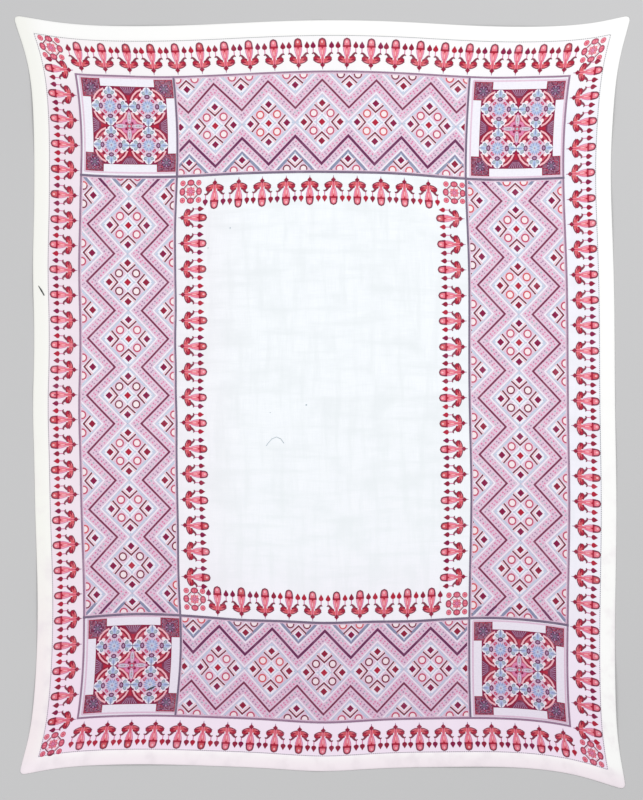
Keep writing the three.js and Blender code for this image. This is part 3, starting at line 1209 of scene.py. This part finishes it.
def new_material(name, roughness):
    """A matt woven finish: the material, its tree, its shader and its weave."""
    material = bpy.data.materials.new(name)
    material.use_nodes = True
    tree = material.node_tree
    shader = tree.nodes["Principled BSDF"]
    shader.inputs["Roughness"].default_value = roughness
    shader.inputs["Specular IOR Level"].default_value = SHINE
    woven = tree.nodes.new("ShaderNodeGroup")
    woven.node_tree = weave
    woven.inputs[0].default_value = THREADS_A_METRE
    relief = tree.nodes.new("ShaderNodeBump")
    relief.inputs["Strength"].default_value = WEAVE_STRENGTH
    relief.inputs["Distance"].default_value = WEAVE_RELIEF * MM
    tree.links.new(woven.outputs[0], relief.inputs["Height"])
    tree.links.new(relief.outputs[0], shader.inputs["Normal"])
    return material, tree, shader, woven


def thread_material(name, rgb):
    material, tree, shader, _ = new_material(name + " threads", THREAD_ROUGHNESS)
    worn = tree.nodes.new("ShaderNodeGroup")
    worn.node_tree = wear_and_lower_darkening
    paler = [c + (FADED_GREY - c) * FADED_SHARE for c in rgb]
    deepening = DEEP_SHARE + PALE_DEEP_SHARE * min(rgb) / 255
    deeper = [c * deepening for c in rgb]
    feed(tree, worn.inputs, [dyed(colour) for colour in (rgb, paler, deeper)])
    tree.links.new(worn.outputs[0], shader.inputs["Base Color"])
    return material


# The ground weave's whites: the middle, the lower part, the hem, the hem where it has yellowed or pinked, its
# darker mottling, and the weave's slubs.
MIDDLE_WHITE = (245, 249, 252)
LOWER_WHITE = (243, 243, 249)
HEM_WHITE = (249, 249, 248)
LEFT_HEM_WHITE = (242, 242, 237)
LOW_LEFT_HEM_WHITE = (241, 231, 234)
HEM_MOTTLE = (231, 222, 228)
BOTTOM_HEM_WHITE = (242, 232, 238)
SLUB_WHITE = (236, 240, 246)
SLUB_SHARE = 0.6

# Where the ground weave changes from one white to another, in metres from the middle, and how softly the
# hem's white ends, in millimetres.
LOWER_PART = (-0.75, 0.15)
LEFT_HEM = (-0.66, -0.60)
LOW_LEFT_HEM = (-0.70, -0.28)
BOTTOM_HEM = (-0.85, -0.80)
TOP_BORDER = (0.66, 0.76)
HEM_SOFT = 1

# The pinkish tint on the ground weave in the borders, partly painted shade that is strongest on the left and
# at the
# bottom: its colour, its share at the cloth's edge, and the places, in metres from the middle, where it is
# full and where it ends. The top border keeps a warmer white.
BORDER_TINTS_AND_SHADE = {
    "left": ((236, 215, 228), 0.70, -0.62, -0.12),
    "right": ((236, 226, 244), 0.34, 0.62, 0.20),
    "bottom": ((238, 217, 236), 0.74, -0.82, -0.30),
}
TOP_WHITE = (247, 244, 245)
TOP_SHARE = 0.75
# The colour of the middle's faint smudges and of the painted shade of its faint fold lines.
SMUDGE_AND_FOLD_SHADE_WHITE = (232, 237, 240)

# The faint grey smudges on the middle, whose two long-streaked rows are painted shade of faint fold lines,
# and the darker mottling on the lower hem, in the same way as a thread's faded patches.
SMUDGES_AND_FOLD_SHADE = [
    (11, 13, 4, 0.45, 0.72, 0.75),
    (6, 48, 4, 0.45, 0.72, 0.6),
    (48, 6, 4, 0.45, 0.72, 0.6),
]
HEM_MOTTLING = (26, 22, 3, 0.45, 0.75, 0.7)


def ground_material():
    material, tree, shader, woven = new_material("white ground weave", GROUND_ROUGHNESS)
    place, u, v = place_on_cloth(tree)
    to_side = math_node(tree, "SUBTRACT", HALF_WIDTH * MM, math_node(tree, "ABSOLUTE", u))
    to_end = math_node(tree, "SUBTRACT", HALF_LENGTH * MM, math_node(tree, "ABSOLUTE", v))
    depth = math_node(tree, "MINIMUM", to_side, to_end)
    in_hem = range_node(tree, depth, (HEM_WIDTH - HEM_SOFT) * MM, (HEM_WIDTH + HEM_SOFT) * MM, 1.0, 0.0)
    lower = range_node(tree, v, *LOWER_PART, 1.0, 0.0)
    left = range_node(tree, u, *LEFT_HEM, 1.0, 0.0)
    low_left = range_node(tree, v, *LOW_LEFT_HEM, 1.0, 0.0)
    bottom = range_node(tree, v, *BOTTOM_HEM, 1.0, 0.0)
    top = range_node(tree, v, *TOP_BORDER, 0.0, TOP_SHARE)
    slubs = math_node(tree, "MULTIPLY", woven.outputs[1], SLUB_SHARE)
    middle = mix_node(tree, lower, dyed(MIDDLE_WHITE), dyed(LOWER_WHITE))
    middle = mix_node(tree, slubs, middle, dyed(SLUB_WHITE))
    # Faint smudges, and painted shade of faint fold lines along the long streaks.
    for row in SMUDGES_AND_FOLD_SHADE:
        middle = mix_node(tree, patches(tree, place, *row), middle, dyed(SMUDGE_AND_FOLD_SHADE_WHITE))
    # Painted shade with a pinkish tint over the borders, strongest on the left and at the bottom.
    for edge, (tint_and_shade_colour, share, full, end) in BORDER_TINTS_AND_SHADE.items():
        along = u if edge in ("left", "right") else v
        low, high, edge_shares = (full, end, (share, 0.0)) if full < end else (end, full, (0.0, share))
        middle = mix_node(tree, range_node(tree, along, low, high, *edge_shares), middle, dyed(tint_and_shade_colour))
    middle = mix_node(tree, top, middle, dyed(TOP_WHITE))
    left_hem = mix_node(tree, low_left, dyed(LEFT_HEM_WHITE), dyed(LOW_LEFT_HEM_WHITE))
    hem = mix_node(tree, left, dyed(HEM_WHITE), left_hem)
    hem = mix_node(tree, bottom, hem, dyed(BOTTOM_HEM_WHITE))
    # Darker mottling on the hem, only towards the cloth's lower end.
    mottling = math_node(tree, "MULTIPLY", patches(tree, place, *HEM_MOTTLING), lower)
    hem = mix_node(tree, mottling, hem, dyed(HEM_MOTTLE))
    tree.links.new(mix_node(tree, in_hem, middle, hem), shader.inputs["Base Color"])
    return material


def add_to_scene(name, data):
    piece = bpy.data.objects.new(name, data)
    bpy.context.scene.collection.objects.link(piece)
    return piece


def mesh_piece(name, points, corners, counts, flat, material):
    """A mesh from arrays: points, corner numbers, corners a face, and the points' flat places."""
    mesh = bpy.data.meshes.new(name)
    mesh.vertices.add(len(points))
    mesh.vertices.foreach_set("co", np.asarray(points, dtype=np.float32).ravel())
    mesh.loops.add(len(corners))
    mesh.loops.foreach_set("vertex_index", np.asarray(corners, dtype=np.int32))
    mesh.polygons.add(len(counts))
    starts = np.concatenate([[0], np.cumsum(counts)[:-1]])
    mesh.polygons.foreach_set("loop_start", starts.astype(np.int32))
    mesh.polygons.foreach_set("use_smooth", np.ones(len(counts), dtype=bool))
    layer = mesh.uv_layers.new(name=MAP_NAME)
    layer.uv.foreach_set("vector", (np.asarray(flat)[corners] * MM).astype(np.float32).ravel())
    mesh.materials.append(material)
    mesh.update(calc_edges=True)
    mesh.validate()
    return add_to_scene(name, mesh)


def rim_of_net(columns, rows):
    bottom = np.arange(columns - 1)
    right = np.arange(rows - 1) * columns + columns - 1
    top = (rows - 1) * columns + np.arange(columns - 1, 0, -1)
    left = np.arange(rows - 1, 0, -1) * columns
    return np.concatenate([bottom, right, top, left])


def cloth_sheet():
    """The whole cloth as one closed sheet: upper face, under face, and the hem's rounded outer fold."""
    columns, rows = len(ACROSS), len(ALONG)
    upper = on_cloth(NET_U, NET_V, 0)
    under = on_cloth(NET_U, NET_V, -thickness(NET_U, NET_V))
    rim = rim_of_net(columns, rows)
    out_u = NET_U[rim] + FOLD_BULGE * (np.abs(NET_U[rim]) >= HALF_WIDTH) * np.sign(NET_U[rim])
    out_v = NET_V[rim] + FOLD_BULGE * (np.abs(NET_V[rim]) >= HALF_LENGTH) * np.sign(NET_V[rim])
    fold_x, fold_y = laid_out(out_u, out_v)
    fold_z = (upper[rim, 2] + under[rim, 2]) / 2
    fold = np.column_stack([(fold_x - MIDDLE_X) * MM, (fold_y - MIDDLE_Y) * MM, fold_z])

    a = (np.arange(rows - 1)[:, None] * columns + np.arange(columns - 1)).ravel()
    faces_up = np.column_stack([a, a + 1, a + 1 + columns, a + columns])
    under_start = columns * rows
    faces_down = under_start + faces_up[:, ::-1]
    fold_rim = 2 * under_start + np.arange(len(rim))
    next_rim, next_fold_rim = np.roll(rim, -1), np.roll(fold_rim, -1)
    upper_fold = np.column_stack([fold_rim, next_fold_rim, next_rim, rim])
    lower_fold = np.column_stack([under_start + rim, under_start + next_rim, next_fold_rim, fold_rim])
    faces = np.vstack([faces_up, faces_down, upper_fold, lower_fold])
    flat = np.column_stack([NET_U, NET_V])
    flat = np.vstack([flat, flat, flat[rim]])
    points = np.vstack([upper, under, fold])
    counts = np.full(len(faces), faces.shape[1])
    return mesh_piece("cloth_sheet", points, faces.ravel(), counts, flat, ground_material())


def facing_up(points):
    """The outline in the order that turns its face upwards."""
    x, y = points.T
    return points if np.dot(x, np.roll(y, -1)) >= np.dot(y, np.roll(x, -1)) else points[::-1]


def thread_piece(name):
    outlines = [facing_up(points) for points, _ in threads[name]]
    counts = np.array([len(points) for points in outlines])
    flat = np.vstack(outlines)
    levels = np.repeat([level for _, level in threads[name]], counts)
    points = on_cloth(flat[:, 0], flat[:, 1], PROUD + LEVEL * levels)
    material = thread_material(name, COLOURS[name])
    return mesh_piece(name + "_threads", points, np.arange(len(flat)), counts, flat, material)


frame_lines()
bud_rows()
rosettes()
for row in BANDS:
    Band(**row).weave()
corner_squares()
hem_stitches()
loose_threads()

sheet = cloth_sheet()
pattern = [thread_piece(name) for name in COLOURS if threads[name]]

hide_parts("cloth")
for piece in [sheet, *pattern]:
    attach(piece, "root")

# The floor, in metres.
FLOOR_HALF = 6.0
FLOOR_DROP = 0.0004
FLOOR_GREY = (0.52, 0.52, 0.5252, 1)
FLOOR_ROUGHNESS = 0.9


def floor_piece():
    mesh = bpy.data.meshes.new("floor")
    corners = rectangle(-FLOOR_HALF, FLOOR_HALF, -FLOOR_HALF, FLOOR_HALF)
    mesh.from_pydata([(x, y, -FLOOR_DROP) for x, y in corners], [], [(0, 1, 2, 3)])
    material = bpy.data.materials.new("pale floor")
    material.use_nodes = True
    shader = material.node_tree.nodes["Principled BSDF"]
    shader.inputs["Base Color"].default_value = FLOOR_GREY
    shader.inputs["Roughness"].default_value = FLOOR_ROUGHNESS
    mesh.materials.append(material)
    return add_to_scene("floor", mesh)


# The soft lamps: name, place in metres, width of the lamp and its power. Then the light of the room itself.
LAMPS = [
    ("key lamp", (2.0, 2.3, 4.2), 2.6, 140),
    ("fill lamp", (-2.6, -1.9, 4.0), 2.8, 92),
]
ROOM_LIGHT = 0.47


def add_lamp(name, place, wide, power):
    data = bpy.data.lights.new(name, "AREA")
    data.size = wide
    data.energy = power
    lamp = add_to_scene(name, data)
    lamp.location = place
    x, y, z = place
    lamp.rotation_euler = (math.atan2(math.hypot(x, y), z), 0, math.atan2(-y, -x) - math.pi / 2)


def light_the_room():
    world = bpy.data.worlds.new("studio")
    world.use_nodes = True
    light = world.node_tree.nodes["Background"]
    light.inputs["Color"].default_value = (1, 1, 1, 1)
    light.inputs["Strength"].default_value = ROOM_LIGHT
    bpy.context.scene.world = world
    for row in LAMPS:
        add_lamp(*row)


# The camera looks straight down from this height and sees this far, in metres. Its view is as wide as so many
# pixels, with so many millimetres to a pixel, and its middle lies here on the laid-out cloth, in millimetres.
CAMERA_HEIGHT = 6.5
CAMERA_REACH = 100
SENSOR = 36.0
PICTURE_PIXELS = 643
PIXEL = 2.3
PICTURE_WIDE = PICTURE_PIXELS * PIXEL * MM
PICTURE_MIDDLE = (-6.9, -10.4)


def set_camera():
    data = bpy.data.cameras.new("camera")
    data.sensor_fit = "HORIZONTAL"
    data.sensor_width = SENSOR
    data.lens = SENSOR * CAMERA_HEIGHT / PICTURE_WIDE
    data.clip_end = CAMERA_REACH
    camera = add_to_scene("camera", data)
    x, y = PICTURE_MIDDLE
    camera.location = ((x - MIDDLE_X) * MM, (y - MIDDLE_Y) * MM, CAMERA_HEIGHT)
    bpy.context.scene.camera = camera


floor_piece()
light_the_room()
set_camera()
bpy.context.scene.view_settings.view_transform = "Standard"
